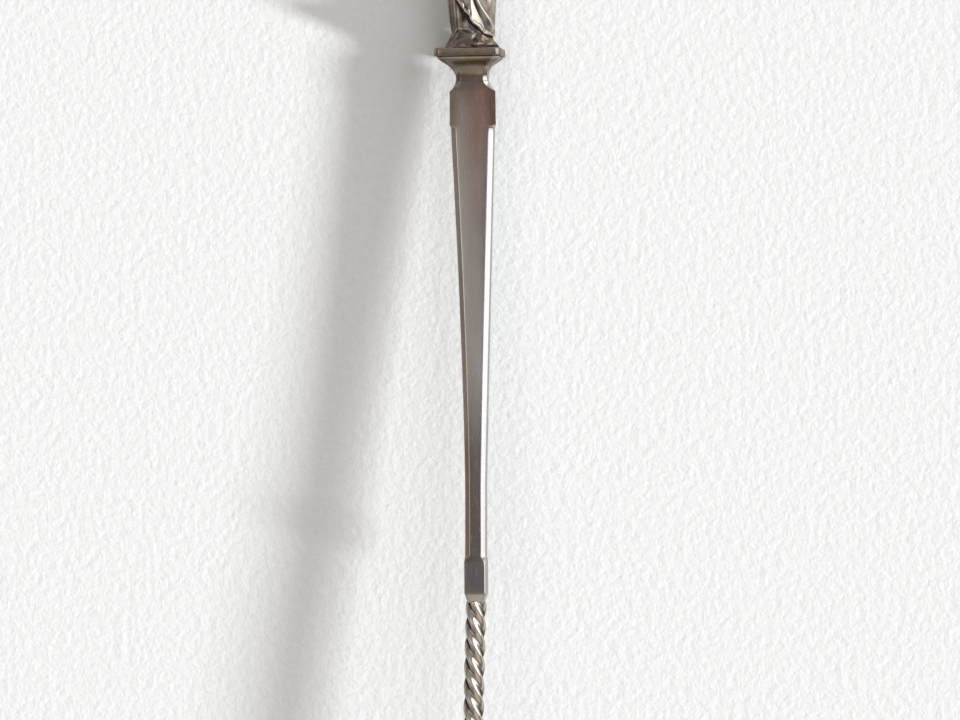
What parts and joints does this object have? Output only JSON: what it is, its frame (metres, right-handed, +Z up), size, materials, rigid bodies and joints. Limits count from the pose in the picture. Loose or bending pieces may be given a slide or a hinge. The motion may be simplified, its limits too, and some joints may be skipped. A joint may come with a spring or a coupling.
{
  "type": "punch ladle",
  "caption": "Silver punch ladle: round bowl with pouring lips, twisted stem, tapering chamfered blade and a draped figure on a stepped plinth; scoops and pours punch.",
  "frame": {"origin": "middle of the small worn flat under the bowl, where the lying ladle rests", "axes": "+Y along the ladle towards the figure, +Z up from the table, +X across the bowl towards one pouring lip"},
  "size_m": [0.1032, 0.3482, 0.0538],
  "materials": {
    "polished_silver": "polished silver with a thin brown tarnish",
    "twisted_silver": "polished silver, tarnished dark in the flutes",
    "cast_silver": "cast silver, tarnished in the hollows",
    "soldered_silver": "soldered silver, satin"
  },
  "bodies": {
    "root": {"bowl": "polished_silver", "rim_wire": "polished_silver", "bowl_tongue": "soldered_silver", "stem_root": "polished_silver", "twisted_stem": "twisted_silver", "blade": "polished_silver", "capital": "cast_silver", "plinth_slab": "cast_silver", "finial_dowel": "soldered_silver", "figure": "cast_silver"}
  },
  "joints": []
}
